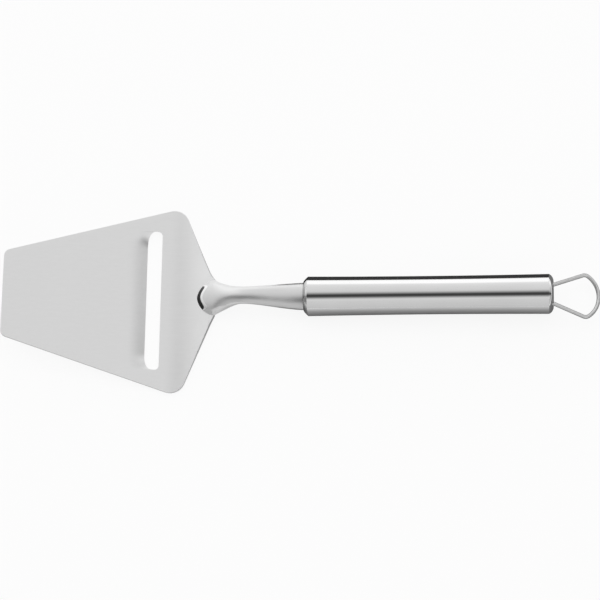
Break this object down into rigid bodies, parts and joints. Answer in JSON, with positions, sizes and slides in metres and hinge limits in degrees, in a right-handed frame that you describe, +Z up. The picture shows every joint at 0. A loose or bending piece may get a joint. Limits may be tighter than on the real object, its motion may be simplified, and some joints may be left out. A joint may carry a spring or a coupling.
{
  "type": "cheese slicer",
  "caption": "All-steel cheese slicer: spade-shaped stamped blade with a slotted pressed cutting lip, forged cranked stem, hollow waisted round handle and a swinging wire hanging loop.",
  "frame": {"origin": "on the table under the middle of the tool's box, as the slicer lies at rest on the sweep of its blade behind the slot and on the front end of its handle", "axes": "+X from the blade's tip along the tool to the hanging loop, +Z up from the table through the blade's upper side, +Y across"},
  "size_m": [0.2712, 0.086, 0.0207],
  "materials": {
    "satin_blade": "satin ground stainless sheet",
    "satin_stem": "satin blasted stainless forging",
    "polished_handle": "polished stainless tube and caps",
    "plain_bush": "turned, as machined",
    "drawn_wire": "bright drawn stainless wire"
  },
  "bodies": {
    "tool": {"blade": "satin_blade", "stem": "satin_stem", "front_ferrule": "polished_handle", "handle_tube": "polished_handle", "tang_bush": "plain_bush", "rear_cap": "polished_handle"},
    "loop": {"hanging_loop": "drawn_wire"}
  },
  "joints": [
    {"name": "loop_swing", "type": "hinge", "parent": "tool", "child": "loop", "pos_m": [0.11219, 0, 0.01176], "axis": [0, 1, 0], "range_deg": [-32, 0]}
  ]
}
